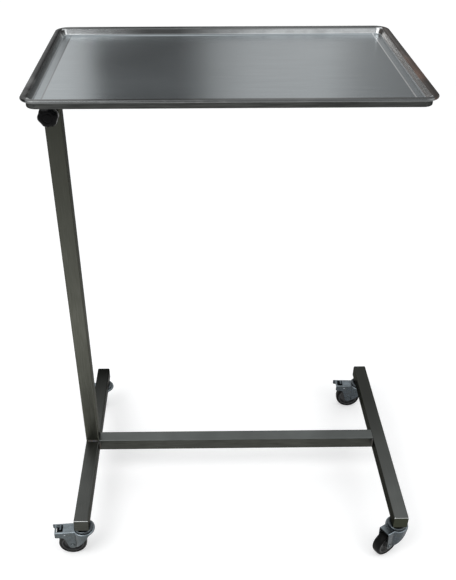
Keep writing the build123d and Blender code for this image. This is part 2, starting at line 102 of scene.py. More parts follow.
class Finish:
    # one node tree, either a material's or the world's
    def __init__(self, owner):
        self.owner = owner
        owner.use_nodes = True
        self.tree = owner.node_tree
        self.tree.nodes.clear()

    def feed(self, socket, value):
        if isinstance(value, Amount):
            self.tree.links.new(value.socket, socket)
        else:
            socket.default_value = value

    def setStops(self, elements, stops):
        # a ramp's stops, each a place and a grey
        while len(elements) < len(stops):
            elements.new(0.5)
        for element, (place, level) in zip(elements, stops):
            element.position = place
            element.color = grey(level)

    def node(self, kind, settings, inputs, output=0):
        made = self.tree.nodes.new(kind)
        for name, value in settings.items():
            if name == "stops":
                self.setStops(made.color_ramp.elements, value)
            else:
                setattr(made, name, value)
        for name, value in inputs.items():
            self.feed(made.inputs[name], value)
        return Amount(self, made.outputs[output]) if made.outputs else None

    def reckon(self, operation, first, second=0.0):
        return self.node("ShaderNodeMath", {"operation": operation}, {0: first, 1: second})

    def mixColour(self, amount, first, second):
        inputs = {0: amount, 6: first, 7: second}
        return self.node("ShaderNodeMix", {"data_type": "RGBA"}, inputs, 2)

    def noise(self, scale, stretch=(1, 1, 1), detail=3.0, turn=(0, 0, 0), roughness=0.5):
        place = self.node("ShaderNodeTexCoord", {}, {}, "Object")
        inputs = {"Vector": place, "Scale": stretch, "Rotation": turn}
        place = self.node("ShaderNodeMapping", {}, inputs)
        inputs = {"Vector": place, "Scale": scale, "Detail": detail, "Roughness": roughness}
        return self.node("ShaderNodeTexNoise", {}, inputs)

    def between(self, value, low, high):
        # 0 at low and 1 at high, held level beyond them
        return self.node("ShaderNodeMapRange", {}, {0: value, 1: low, 2: high, 3: 0.0, 4: 1.0})

    def axisOf(self, kind, output, axis):
        # one axis of a place or a direction
        parts = self.node("ShaderNodeSeparateXYZ", {}, {0: self.node(kind, {}, {}, output)})
        return Amount(self, parts.socket.node.outputs[axis])

    def place(self, axis):
        return self.axisOf("ShaderNodeTexCoord", "Object", axis)

    def upward(self):
        # 0 on an upright face, 1 on one that looks straight up
        return self.axisOf("ShaderNodeNewGeometry", "Normal", 2)

    def bump(self, height, strength, distance, under=None):
        inputs = {"Height": height, "Strength": strength, "Distance": distance}
        if under is not None:
            inputs["Normal"] = under
        return self.node("ShaderNodeBump", {}, inputs)

    def surface(self, **inputs):
        names = {"colour": "Base Color", "metallic": "Metallic", "roughness": "Roughness",
                 "normal": "Normal", "grain": "Anisotropic", "lay": "Tangent",
                 "specular": "Specular IOR Level", "grazing": "Specular Tint"}
        inputs = {names[key]: value for key, value in inputs.items()}
        shader = self.node("ShaderNodeBsdfPrincipled", {}, inputs)
        self.node("ShaderNodeOutputMaterial", {}, {"Surface": shader})
        return self.owner


# finishes
# a pair of numbers says where a mark starts and where it is full, a bump's are strength and height
tubeSteel = {
    # side and top are painted shade and painted light, picked by which way a face looks
    "side": tone(62, 63, 58), "top": tone(98, 100, 98), "paintedTopLight": (0.25, 0.85),
    "streak": tone(150, 150, 145), "streakShare": 0.6, "streakStart": 0.35, "streakGain": 1.2,
    "cloud": tone(52, 53, 49), "cloudRange": (0.3, 0.75), "clouding": 0.45,
    "streakAcross": 1500.0, "streakAlong": 22.0,
    "streaks": {"scale": 1.0, "detail": 4.0, "roughness": 0.65},
    "lineStretch": 0.28, "lineShare": 0.6, "lines": {"scale": 1.0, "detail": 2.0},
    "clouds": {"scale": 7.0}, "scuffRange": (0.6, 0.8),
    "scuffs": {"scale": 60.0, "stretch": (1, 5, 1), "detail": 5.0, "turn": (0.3, 0.5, 0.8),
               "roughness": 0.7},
    "waves": {"scale": 5.0, "detail": 1.0},
    "streakBump": (0.35, 0.00004), "waveBump": (0.6, 0.0004),
    "roughness": 0.34, "streakRoughness": 0.14, "cloudRoughness": 0.14, "scuffRoughness": 0.06,
    "grain": 0.3, "grazing": tone(150, 150, 148)}
# the copies below are one steel, its tones set part by part to how each part is lit: painted light
# and shade. A fade, a painted shade, is (axis, start, end, tone at the end)
columnSteel = {**tubeSteel, "side": tone(76, 77, 69), "cloud": tone(60, 61, 55),
               "fade": (2, 0.45, 0.95, tone(48, 49, 44))}
leftTubeSteel = {**tubeSteel, "side": tone(54, 55, 50), "top": tone(90, 92, 90),
                 "fade": (1, 0.0, 0.26, tone(26, 27, 25))}
rightTubeSteel = {**tubeSteel, "side": tone(36, 37, 34), "top": tone(112, 115, 113),
                  "cloud": tone(60, 61, 58), "fade": (1, -0.3, 0.12, tone(66, 67, 64))}
plateSteel = {**leftTubeSteel, "fade": (0, -0.1, 0.2, tone(60, 62, 53)),
              # the edge tone is a painted highlight on the rounded edge
              "edge": tone(226, 228, 228), "edgeRise": (0.15, 0.4), "edgeFall": (0.85, 0.98)}
crossTubeSteel = {**tubeSteel, "side": tone(50, 51, 47), "top": tone(108, 112, 111)}
frameSteel = {**tubeSteel, "side": tone(44, 46, 46), "top": tone(60, 62, 60),
              "cloud": tone(38, 39, 37)}
armSteel = {**tubeSteel, "side": tone(96, 97, 92), "top": tone(130, 131, 126),
            "cloud": tone(84, 85, 80)}


def satinSteel(name, along, settings):
    # polished lengthwise: long fine streaks, broad cloudy wipe marks, a few scuffs
    finish = Finish(bpy.data.materials.new(name))
    fine = [settings["streakAcross"]] * 3
    fine[along] = settings["streakAlong"]
    coarse = [value * settings["lineStretch"] for value in fine]
    streaks = finish.noise(stretch=fine, **settings["streaks"])
    lines = finish.noise(stretch=coarse, **settings["lines"])
    clouds = finish.noise(**settings["clouds"])
    scuffs = finish.between(finish.noise(**settings["scuffs"]), *settings["scuffRange"])
    # painted light and shade: faces that look up are painted brighter than the upright ones
    paintedTopLight = finish.between(finish.upward(), *settings["paintedTopLight"])
    colour = finish.mixColour(paintedTopLight, settings["side"], settings["top"])
    streaked = finish.mixColour(settings["streakShare"], colour, settings["streak"])
    streaking = (streaks - settings["streakStart"]) * settings["streakGain"]
    colour = finish.mixColour(streaking, colour, streaked)
    clouding = finish.between(clouds, *settings["cloudRange"]) * settings["clouding"]
    colour = finish.mixColour(clouding, colour, settings["cloud"])
    if "fade" in settings:
        # painted shade: darker towards one end
        axis, low, high, end = settings["fade"]
        colour = finish.mixColour(finish.between(finish.place(axis), low, high), colour, end)
    if "edge" in settings:
        # painted highlight: bright where the plate's edge is rounded over
        up = finish.upward()
        rise, fall = [finish.between(up, *settings[bend]) for bend in ("edgeRise", "edgeFall")]
        colour = finish.mixColour(rise * (1 - fall), colour, settings["edge"])
    roughness = (settings["roughness"] + sway(streaks, settings["streakRoughness"])
                 + sway(clouds, settings["cloudRoughness"]) + scuffs * settings["scuffRoughness"])
    height = finish.bump(streaks + lines * settings["lineShare"], *settings["streakBump"])
    normal = finish.bump(finish.noise(**settings["waves"]), *settings["waveBump"], height)
    return finish.surface(colour=colour, metallic=1.0, roughness=roughness, normal=normal,
                          grain=settings["grain"], grazing=settings["grazing"])


# the sheet's zones are in metres, in from the rim and down from it
sheetSteel = {
    "floor": tone(203, 209, 212),
    "cloud": tone(171, 178, 181), "cloudRange": (0.3, 0.8), "clouding": 0.35,
    "streakAcross": 1300.0, "streakAlong": 14.0,
    "streaks": {"scale": 1.0, "detail": 4.0, "roughness": 0.65},
    "streakStart": 0.3, "streakGain": 0.6, "bandAcross": 0.3, "bandAlong": 0.6, "bandGain": 0.8,
    "clouds": {"scale": 6.0}, "hairRange": (0.66, 0.82),
    "hairs": {"scale": 38.0, "stretch": (1, 7, 1), "detail": 5.0, "turn": (0.2, 0.3, 0.9),
              "roughness": 0.72},
    "drawn": {"scale": 26.0, "stretch": (1, 1, 2.2), "detail": 4.0, "roughness": 0.6},
    "flange": 0.0125, "flangeBlend": 0.9,
    "wallFoot": (0.0099, 0.0107), "wallShade": (0.003, 0.0112),
    "endWall": (0.1, 0.5), "unstreaked": (0.003, 0.06), "leftToRight": (-0.02, 0.02),
    "crease": 0.028, "creaseLine": (0.0004, 0.0017), "creaseShare": 0.7,
    # crease tones: a painted shadow on the left, a painted highlight on the right
    "creaseShadow": tone(150, 152, 152), "paintedCreaseHighlight": tone(255, 255, 255),
    # wall tones, set per side, and the shadow tone are painted shade and painted reflection
    "wall": tone(226, 229, 230), "leftWall": tone(160, 162, 162), "rightWall": tone(104, 100, 97),
    "shadow": tone(52, 53, 51),
    "shadowPlace": -0.11, "shadowReach": (0.03, 0.2), "shadowShare": 0.85,
    "drawnRange": (0.45, 0.65), "drawnShare": 0.2,
    # flange tones, set per side, are painted reflection
    "longFlange": tone(104, 106, 106), "leftFlange": tone(32, 33, 34),
    "rightFlange": tone(74, 67, 62),
    "stain": tone(132, 102, 86), "stainRange": (0.5, 0.62), "stainShare": 0.8,
    "worn": tone(136, 137, 136), "wornRange": (0.52, 0.66), "wornLeft": 0.5, "wornRight": 0.2,
    "roughness": 0.19, "streakRoughness": 0.1, "cloudRoughness": 0.08, "hairRoughness": 0.05,
    "wallRoughness": 0.06, "streakBump": (0.3, 0.000012), "waves": {"scale": 3.0, "detail": 1.0},
    "waveBump": (0.5, 0.0011), "grain": 0.85}


def pressedSheet(name, low, high, settings):
    # one pressed sheet: satin floor with long streaks, walls that brighten downwards and a dark
    # flange, both painted shade and painted reflection
    finish = Finish(bpy.data.materials.new(name))
    middle, half = (low + high) / 2, (high - low) / 2
    depth = high.z - finish.place(2)
    lengthwise = finish.place(0) - middle.x
    widthwise = finish.place(1) - middle.y
    facing = finish.axisOf("ShaderNodeTexCoord", "Normal", 0)
    slope = facing * facing

    # zones: the flange round the rim, the walls, the end walls, the right half, the crease
    flange = settings["flange"]
    blend = flange * settings["flangeBlend"]
    shortSides = finish.between(abs(lengthwise), half.x - flange, half.x - blend)
    longSides = finish.between(abs(widthwise), half.y - flange, half.y - blend)
    rim = finish.reckon("MAXIMUM", shortSides, longSides)
    wall = 1 - finish.between(depth, *settings["wallFoot"])
    down = finish.between(depth, *settings["wallShade"])
    endWall = finish.between(slope, *settings["endWall"])
    right = finish.between(lengthwise, *settings["leftToRight"])
    crease = abs(abs(lengthwise) - (half.x - settings["crease"]))
    crease = 1 - finish.between(crease, *settings["creaseLine"])

    # marks: the short walls are crossed by the streaks, so there the streaks are left out
    across, along = settings["streakAcross"], settings["streakAlong"]
    bandAcross, bandAlong = across * settings["bandAcross"], along * settings["bandAlong"]
    level = 1 - finish.between(slope, *settings["unstreaked"])
    streaks = finish.noise(stretch=(along, across, across), **settings["streaks"])
    streaks = 0.5 + sway(streaks, level)
    bands = 0.5 + sway(finish.noise(1.0, (bandAlong, bandAcross, bandAcross)), level)
    clouds = finish.noise(**settings["clouds"])
    hairs = finish.between(finish.noise(**settings["hairs"]), *settings["hairRange"])
    drawn = finish.noise(**settings["drawn"])

    # the floor and its crease: a painted shadow along the left crease, a painted highlight along
    # the right one
    streaking = (streaks - settings["streakStart"]) * settings["streakGain"]
    streaking = streaking + sway(bands, settings["bandGain"])
    colour = finish.mixColour(streaking, settings["cloud"], settings["floor"])
    clouding = finish.between(clouds, *settings["cloudRange"]) * settings["clouding"]
    colour = finish.mixColour(clouding, colour, settings["cloud"])
    creaseTone = finish.mixColour(right, settings["creaseShadow"], settings["paintedCreaseHighlight"])
    colour = finish.mixColour(crease * settings["creaseShare"], colour, creaseTone)

    # the walls: tones set per side, darker at the top of the left end wall and in a band along the
    # long walls, are painted shade and painted reflection
    leftWall = finish.mixColour(down, settings["shadow"], settings["leftWall"])
    fromShadow = abs(lengthwise - settings["shadowPlace"])
    shaded = (1 - finish.between(fromShadow, *settings["shadowReach"])) * settings["shadowShare"]
    longWall = finish.mixColour(shaded, settings["wall"], settings["shadow"])
    endTone = finish.mixColour(right, leftWall, settings["rightWall"])
    walls = finish.mixColour(endWall, longWall, endTone)
    drawing = finish.between(drawn, *settings["drawnRange"]) * settings["drawnShare"]
    walls = finish.mixColour(drawing, walls, settings["shadow"])
    colour = finish.mixColour(wall, colour, walls)

    # the flange: tones set per side, near black on the left, are painted reflection; the stain and
    # the worn spots are the sheet's own
    edge = finish.mixColour(right, settings["leftFlange"], settings["rightFlange"])
    edge = finish.mixColour(shortSides, settings["longFlange"], edge)
    stain = finish.between(clouds, *settings["stainRange"]) * shortSides * right
    edge = finish.mixColour(stain * settings["stainShare"], edge, settings["stain"])
    wear = settings["wornLeft"] - right * (settings["wornLeft"] - settings["wornRight"])
    wear = finish.between(drawn, *settings["wornRange"]) * wear
    edge = finish.mixColour(wear, edge, settings["worn"])
    colour = finish.mixColour(rim, colour, edge)

    roughness = (settings["roughness"] + sway(streaks, settings["streakRoughness"])
                 + sway(clouds, settings["cloudRoughness"]) + hairs * settings["hairRoughness"]
                 + wall * settings["wallRoughness"])
    flat = 1 - finish.reckon("MAXIMUM", wall, rim)
    height = finish.bump((streaks + bands) * flat, *settings["streakBump"])
    normal = finish.bump(finish.noise(**settings["waves"]), *settings["waveBump"], height)
    # brushed lengthwise, so what it mirrors is smeared widthwise only
    lay = finish.node("ShaderNodeTangent", {"direction_type": "RADIAL", "axis": "X"}, {})
    return finish.surface(colour=colour, metallic=1.0, roughness=roughness, normal=normal,
                          grain=settings["grain"], lay=lay)


zinc = {
    "patches": {"scale": 90.0, "detail": 4.0}, "crystals": {"scale": 520.0, "detail": 2.0},
    "handled": (0.42, 0.7), "paintedTopLight": (0.2, 0.8), "bump": (0.2, 0.00004), "patchShare": 0.5,
    "glint": tone(164, 172, 180), "glintStart": 0.4, "glintGain": 0.5,
    "worn": tone(78, 80, 76), "wornShare": 0.4,
    "roughness": 0.26, "handledRoughness": 0.12, "crystalRoughness": 0.08}


def zincPlate(name, upright, level):
    # bright zinc with a cold tint, painted shade on the upright cheeks and painted light on faces
    # that look up, duller where it is handled
    finish = Finish(bpy.data.materials.new(name))
    patches = finish.noise(**zinc["patches"])
    crystals = finish.noise(**zinc["crystals"])
    handled = finish.between(patches, *zinc["handled"])
    colour = finish.mixColour(finish.between(finish.upward(), *zinc["paintedTopLight"]), upright, level)
    glint = (crystals - zinc["glintStart"]) * zinc["glintGain"]
    colour = finish.mixColour(glint, colour, zinc["glint"])
    colour = finish.mixColour(handled * zinc["wornShare"], colour, zinc["worn"])
    roughness = (zinc["roughness"] + handled * zinc["handledRoughness"]
                 + sway(crystals, zinc["crystalRoughness"]))
    normal = finish.bump(crystals + patches * zinc["patchShare"], *zinc["bump"])
    return finish.surface(colour=colour, metallic=1.0, roughness=roughness, normal=normal)


def grainedSteel(finish, grain, colour, settings):
    # a fine grain that shows in the tone, the gloss and the surface
    colour = finish.mixColour(grain * settings["speckShare"], colour, settings["speck"])
    roughness = settings["roughness"] + grain * settings["grainRoughness"]
    normal = finish.bump(grain, *settings["bump"])
    return finish.surface(colour=colour, metallic=1.0, roughness=roughness, normal=normal)


lever = {"paintedLeverShadow": tone(16, 19, 22), "pressed": tone(120, 128, 134), "tab": (0.0022, 0.0008),
         "grain": {"scale": 420.0}, "speck": tone(44, 47, 50), "speckShare": 0.3,
         "roughness": 0.4, "grainRoughness": 0.2, "bump": (0.3, 0.00006)}


def leverSteel(top):
    # the brake lever: painted shadow, dark where it lies under the hood, and worn bright on the tab
    # that a shoe presses
    finish = Finish(bpy.data.materials.new("leverSteel"))
    grain = finish.noise(**lever["grain"])
    start, full = lever["tab"]
    pressed = finish.between(finish.place(2), top - start, top - full)
    colour = finish.mixColour(pressed, lever["paintedLeverShadow"], lever["pressed"])
    return grainedSteel(finish, grain, colour, lever)


turned = {"base": tone(150, 154, 160), "grain": {"scale": 900.0, "detail": 2.0},
          "speck": tone(196, 200, 204), "speckShare": 1.0,
          "roughness": 0.2, "grainRoughness": 0.14, "bump": (0.2, 0.00004)}


def turnedZinc():
    # turned steel under zinc: rivets, stems, pins and balls
    finish = Finish(bpy.data.materials.new("turnedZinc"))
    return grainedSteel(finish, finish.noise(**turned["grain"]), turned["base"], turned)


weld = {"straw": tone(86, 80, 69), "blue": tone(70, 72, 79), "heat": {"scale": 160.0},
        "heatRange": (0.35, 0.65), "grain": {"scale": 900.0},
        "speck": tone(60, 58, 54), "speckShare": 0.5,
        "roughness": 0.36, "grainRoughness": 0.2, "bump": (0.5, 0.00012)}


def weldSteel():
    # a bead as it was laid, straw and blue from the heat, wire brushed
    finish = Finish(bpy.data.materials.new("weldBead"))
    heat = finish.between(finish.noise(**weld["heat"]), *weld["heatRange"])
    colour = finish.mixColour(heat, weld["straw"], weld["blue"])
    return grainedSteel(finish, finish.noise(**weld["grain"]), colour, weld)


rubber = {"dust": {"scale": 110.0, "detail": 5.0, "roughness": 0.7}, "dustRange": (0.45, 0.75),
          "skin": {"scale": 1400.0, "detail": 2.0}, "dustHeight": 0.4, "bump": (0.3, 0.00008),
          "roughness": 0.5, "dustRoughness": 0.25, "sheen": 0.05, "dustSheen": 0.3}


def tyreRubber(name, clean, dusty, amount):
    # grey-black rubber, floor dust on the tread, faint mould skin
    finish = Finish(bpy.data.materials.new(name))
    dust = finish.between(finish.noise(**rubber["dust"]), *rubber["dustRange"])
    mouldSkin = finish.noise(**rubber["skin"])
    colour = finish.mixColour(dust * amount, clean, dusty)
    roughness = rubber["roughness"] + dust * rubber["dustRoughness"]
    normal = finish.bump(mouldSkin + dust * rubber["dustHeight"], *rubber["bump"])
    return finish.surface(colour=colour, roughness=roughness, normal=normal,
                          specular=rubber["sheen"] + rubber["dustSheen"] * amount)


nylon = {"skin": {"scale": 1800.0, "detail": 2.0}, "rub": {"scale": 140.0, "detail": 4.0},
         "rubRange": (0.5, 0.8), "rubShare": 0.5, "rubRoughness": 0.14, "skinRoughness": 0.1,
         "bump": (0.25, 0.00005)}


def mouldedNylon(name, base, worn, roughness):
    finish = Finish(bpy.data.materials.new(name))
    mouldSkin = finish.noise(**nylon["skin"])
    rub = finish.between(finish.noise(**nylon["rub"]), *nylon["rubRange"])
    colour = finish.mixColour(rub * nylon["rubShare"], base, worn)
    roughness = roughness + rub * nylon["rubRoughness"] + sway(mouldSkin, nylon["skinRoughness"])
    normal = finish.bump(mouldSkin, *nylon["bump"])
    return finish.surface(colour=colour, roughness=roughness, normal=normal)


phenolic = {"peel": {"scale": 420.0, "detail": 1.0}, "hairRange": (0.64, 0.7), "hairShare": 0.25,
            "hairs": {"scale": 260.0, "stretch": (1, 9, 1), "detail": 4.0, "turn": (0.7, 0.2, 0.4),
                      "roughness": 0.7},
            "black": tone(3, 3, 4), "hair": tone(30, 30, 32),
            "roughness": 0.24, "hairRoughness": 0.2,
            "sheen": 0.08, "bump": (0.12, 0.0001)}


def knobGloss():
    # glossy phenolic: deep black, a soft orange-peel ripple and a few hairline scratches
    finish = Finish(bpy.data.materials.new("knobGloss"))
    peel = finish.noise(**phenolic["peel"])
    hairs = finish.between(finish.noise(**phenolic["hairs"]), *phenolic["hairRange"])
    colour = finish.mixColour(hairs * phenolic["hairShare"], phenolic["black"], phenolic["hair"])
    roughness = phenolic["roughness"] + hairs * phenolic["hairRoughness"]
    return finish.surface(colour=colour, roughness=roughness, specular=phenolic["sheen"],
                          normal=finish.bump(peel, *phenolic["bump"]))


trayLow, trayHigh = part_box("tray")
# the number in the first ones is the axis that the steel is polished along
madeFinishes = [
    satinSteel("columnSteel", 2, columnSteel),
    satinSteel("leftTubeSteel", 1, leftTubeSteel),
    satinSteel("rightTubeSteel", 1, rightTubeSteel),
    satinSteel("plateSteel", 0, plateSteel),
    satinSteel("crossTubeSteel", 0, crossTubeSteel),
    satinSteel("armSteel", 0, armSteel),
    satinSteel("frameSteel", 0, frameSteel),
    pressedSheet("traySteel", trayLow, trayHigh, sheetSteel),
    zincPlate("brightZinc", tone(78, 84, 86), tone(138, 147, 152)),
    zincPlate("dullZinc", tone(58, 64, 68), tone(132, 141, 147)),
    zincPlate("raceZinc", tone(46, 50, 53), tone(84, 90, 94)),
    turnedZinc(),
    leverSteel(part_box("front_left_brake_lever")[1].z),
    weldSteel(),
    # two rubbers, a lighter and a darker one
    tyreRubber("lighterRubber", tone(20, 21, 20), tone(62, 62, 58), 0.5),
    tyreRubber("darkerRubber", tone(4, 4, 4), tone(20, 20, 19), 0.2),
    mouldedNylon("wheelNylon", tone(24, 24, 25), tone(58, 58, 57), 0.42),
    mouldedNylon("guideNylon", tone(30, 30, 31), tone(70, 70, 70), 0.45),
    knobGloss(),
]
finishes = {material.name: material for material in madeFinishes}
print("finishes made:", len(finishes))


# ways of making pieces
def makePiece(name, points, faces, body, finish, hides, sharp):
    mesh = bpy.data.meshes.new(name)
    mesh.from_pydata(points, [], faces)
    mesh.update()
    piece = bpy.data.objects.new(name, mesh)
    bpy.context.scene.collection.objects.link(piece)
    mesh.materials.append(finishes[finish])
    # edges that turn by more than this many degrees stay crisp
    mesh.shade_smooth()
    mesh.set_sharp_from_angle(angle=math.radians(sharp))
    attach(piece, body)
    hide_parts(*hides)


def skin(rings, joinEnds=False):
    # quads between rings that go round something, closed into a loop or with flat ends
    count = len(rings[0])
    points = [point for ring in rings for point in ring]
    faces = []
    spans = len(rings) if joinEnds else len(rings) - 1
    for i in range(spans):
        here = i * count
        there = ((i + 1) % len(rings)) * count
        for k in range(count):
            following = (k + 1) % count
            faces.append((here + k, here + following, there + following, there + k))
    if not joinEnds:
        faces.append(tuple(reversed(range(count))))
        faces.append(tuple(range(len(points) - count, len(points))))
    return points, faces


def softened(corners, radii, steps=6):
    # an open line with its inner corners rounded
    line = [Vector(corners[0])]
    for i, radius in enumerate(radii, 1):
        corner = Vector(corners[i])
        back = (Vector(corners[i - 1]) - corner).normalized()
        ahead = (Vector(corners[i + 1]) - corner).normalized()
        half = back.angle(ahead) / 2
        centre = corner + (back + ahead).normalized() * radius / math.sin(half)
        start = corner + back * radius / math.tan(half) - centre
        end = corner + ahead * radius / math.tan(half) - centre
        sweep = start.angle_signed(end)
        for k in range(steps + 1):
            spoke = start.copy()
            spoke.rotate(Matrix.Rotation(-sweep * k / steps, 2))
            line.append(centre + spoke)
    line.append(Vector(corners[-1]))
    return line


def offsetLine(line, distance):
    moved = []
    for i, point in enumerate(line):
        before = line[max(i - 1, 0)]
        after = line[min(i + 1, len(line) - 1)]
        run = (after - before).normalized()
        moved.append(point + Vector((-run.y, run.x)) * distance)
    return moved


def roundedRing(middle, length, width, radius, level, steps=8):
    # a level rounded rectangle, given in millimetres round a middle in metres
    ring = []
    for turn, (sideX, sideY) in enumerate([(1, 1), (-1, 1), (-1, -1), (1, -1)]):
        for k in range(steps + 1):
            angle = math.pi / 2 * (turn + k / steps)
            x = sideX * (length / 2 - radius) + radius * math.cos(angle)
            y = sideY * (width / 2 - radius) + radius * math.sin(angle)
            ring.append((middle.x + x * mm, middle.y + y * mm, level))
    return ring


def turnedRings(profile, centre, axis, steps):
    # rings of a turned part: profile gives (distance along the axis, radius) in millimetres
    axis = Vector(axis).normalized()
    side = axis.orthogonal().normalized()
    other = axis.cross(side)
    rings = []
    for along, radius in profile:
        middle = Vector(centre) + axis * along * mm
        rings.append([tuple(middle + (side * math.cos(2 * math.pi * k / steps)
                                      + other * math.sin(2 * math.pi * k / steps)) * radius * mm)
                      for k in range(steps)])
    return rings


# the tray: places are (in from the rim, up from it) in millimetres
tray = {"corner": 25.0, "leastCorner": 0.8, "sheet": 1.0, "sharp": 24,
        "bead": 2.2, "beadCurl": 250, "curlSteps": 18,
        "flange": (11.0, -1.3), "foot": (14.5, -11.5), "floorEdge": (19.0, -11.5),
        "flangeBend": 2.5, "footBend": 3.5,
        "crease": 28.0, "sideCrease": 20.2, "creaseCorner": 2.0, "creaseDrop": 1.0,
        "creaseEase": 1.2}


def makeTray():
    middle = (trayLow + trayHigh) / 2
    length = (trayHigh.x - trayLow.x) / mm
    width = (trayHigh.y - trayLow.y) / mm
    bead = tray["bead"]
    half = tray["sheet"] / 2
    sheet = softened([(bead, -half), tray["flange"], tray["foot"], tray["floorEdge"]],
                     [tray["flangeBend"], tray["footBend"]])
    above = offsetLine(sheet, half)
    below = offsetLine(sheet, -half)
    curl = []
    for k in range(1, tray["curlSteps"] + 1):
        angle = math.radians(90 + tray["beadCurl"] * k / tray["curlSteps"])
        curl.append(Vector((bead + bead * math.cos(angle), -bead + bead * math.sin(angle))))
    creaseTop = Vector((tray["crease"], above[-1].y - tray["creaseDrop"]))
    creaseUnder = Vector((tray["crease"], below[-1].y - tray["creaseDrop"]))
    easeTop = Vector((tray["crease"] + tray["creaseEase"], creaseTop.y))
    easeUnder = Vector((tray["crease"] + tray["creaseEase"], creaseUnder.y))
    section = [easeTop, creaseTop] + list(reversed(above)) + curl
    section += [point for point in below if point.x > bead * 2] + [creaseUnder, easeUnder]
    edge = tray["floorEdge"][0]
    rings = []
    for point in section:
        inset = point.x
        corner = tray["corner"] - point.x
        if point.x > edge:
            # along the long sides the floor is set down right at the wall's foot
            share = (point.x - edge) / (tray["crease"] - edge)
            inset = edge + (tray["sideCrease"] - edge) * share
            corner = (tray["corner"] - edge) * (1 - share) + tray["creaseCorner"] * share
        rings.append(roundedRing(middle, length - 2 * point.x, width - 2 * inset,
                                 max(corner, tray["leastCorner"]), trayHigh.z + point.y * mm))
    points, faces = skin(rings)
    makePiece("pressedTray", points, faces, "tray", "traySteel", ["tray"],
              tray["sharp"])


makeTray()
print("tray made")

# the angle frame
angleFrame = {"thickness": 2.0, "ledge": 22.0, "corner": 17.0, "leastCorner": 2.0, "outerBend": 1.4,
              "innerBend": 0.8, "edge": 0.3, "bendSteps": 4, "sharp": 30}


def makeAngleFrame():
    low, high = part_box("tray_frame")
    middle = (low + high) / 2
    length = (high.x - low.x) / mm
    width = (high.y - low.y) / mm
    deep = (low.z - high.z) / mm
    thick = angleFrame["thickness"]
    ledge = angleFrame["ledge"]
    edge = angleFrame["edge"]
    # around the section: lip top, outside, underside, ledge's edge, ledge top, inside of the lip
    corners = [(thick / 2, 0), (0, 0), (0, deep), (ledge, deep), (ledge, deep + thick),
               (thick, deep + thick), (thick, 0), (thick / 2, 0)]
    radii = [edge, angleFrame["outerBend"], edge, edge, angleFrame["innerBend"], edge]
    section = softened(corners, radii, angleFrame["bendSteps"])[:-1]
    rings = []
    for point in section:
        corner = max(angleFrame["corner"] - point.x, angleFrame["leastCorner"])
        rings.append(roundedRing(middle, length - 2 * point.x, width - 2 * point.x, corner,
                                 high.z + point.y * mm))
    points, faces = skin(rings, joinEnds=True)
    makePiece("angleFrame", points, faces, "mast", "frameSteel", ["tray_frame"],
              angleFrame["sharp"])


makeAngleFrame()
print("angle frame made")

# the clamp's knob and screw
# the knob's profile gives (distance along the axis, radius, how far the scallops cut in)
knob = {"lobes": 6, "scallop": 1.5, "tilt": 8.0, "dipPower": 1.3, "steps": 120, "sharp": 40,
        "profile": [(0.0, 4.6, 0.0), (0.0, 8.4, 0.0), (0.4, 9.0, 0.0), (4.4, 9.2, 0.0),
                    (5.0, 10.2, 0.1), (5.4, 13.4, 0.7), (5.9, 16.0, 1.0), (6.9, 17.4, 1.0),
                    (8.4, 18.0, 1.0), (12.0, 18.0, 1.0), (16.4, 17.9, 1.0), (18.6, 17.4, 1.0),
                    (20.4, 16.0, 0.9), (21.6, 14.0, 0.75), (22.4, 11.6, 0.5), (22.8, 9.6, 0.25),
                    (22.7, 8.6, 0.1), (22.3, 8.2, 0.0), (22.4, 7.8, 0.0), (22.9, 7.2, 0.0),
                    (23.0, 5.0, 0.0), (23.0, 1.0, 0.0)]}
clampAxis = Vector((0, -1, 0))


def clampPoint(start, along, angle, radius):
    # a point round the clamp's axis, its distances in millimetres
    spoke = Vector((math.cos(angle), 0, math.sin(angle)))
    return tuple(start + clampAxis * along * mm + spoke * radius * mm)


def makeKnob():
    low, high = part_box("clamp_knob")
    back = Vector(((low.x + high.x) / 2, high.y, (low.z + high.z) / 2))
    firstDip = math.radians(knob["tilt"]) + math.pi / knob["lobes"]
    rings = []
    for along, radius, lobed in knob["profile"]:
        ring = []
        for k in range(knob["steps"]):
            angle = 2 * math.pi * k / knob["steps"]
            dip = (0.5 + 0.5 * math.cos(knob["lobes"] * (angle - firstDip))) ** knob["dipPower"]
            ring.append(clampPoint(back, along, angle, radius - knob["scallop"] * lobed * dip))
        rings.append(ring)
    points, faces = skin(rings)
    makePiece("lobedKnob", points, faces, "clamp_screw", "knobGloss",
              ["clamp_knob"], knob["sharp"])


screw = {"radius": 4.0, "pitch": 1.25, "depth": 0.62, "smoothEnd": 1.2, "smoothDepth": 0.9,
         "around": 40, "perTurn": 8, "sharp": 50}


def makeScrew():
    low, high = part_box("clamp_stud")
    front = Vector(((low.x + high.x) / 2, high.y, (low.z + high.z) / 2))
    length = (high.y - low.y) / mm
    count = int(length / screw["pitch"] * screw["perTurn"])
    rings = []
    for i in range(count + 1):
        along = length * i / count
        fade = min(1.0, along / screw["smoothEnd"], (length - along) / screw["smoothEnd"])
        ring = []
        for k in range(screw["around"]):
            share = k / screw["around"]
            phase = (along / screw["pitch"] - share) % 1.0
            cut = 1 - abs(2 * phase - 1)
            depth = screw["depth"] * (cut * fade + (1 - fade) * screw["smoothDepth"])
            ring.append(clampPoint(front, along, 2 * math.pi * share, screw["radius"] - depth))
        rings.append(ring)
    points, faces = skin(rings)
    makePiece("threadedScrew", points, faces, "clamp_screw", "turnedZinc",
              ["clamp_stud"], screw["sharp"])


makeKnob()
makeScrew()
print("clamp made")

# the weld beads
bead = {"length": 25, "leg": 2.9, "taper": 2.2, "endShare": 0.25, "across": 6, "sharp": 60,
        "pitch": 1.9, "perPitch": 6, "ripple": 0.22, "crest": 0.6, "lag": 0.9}


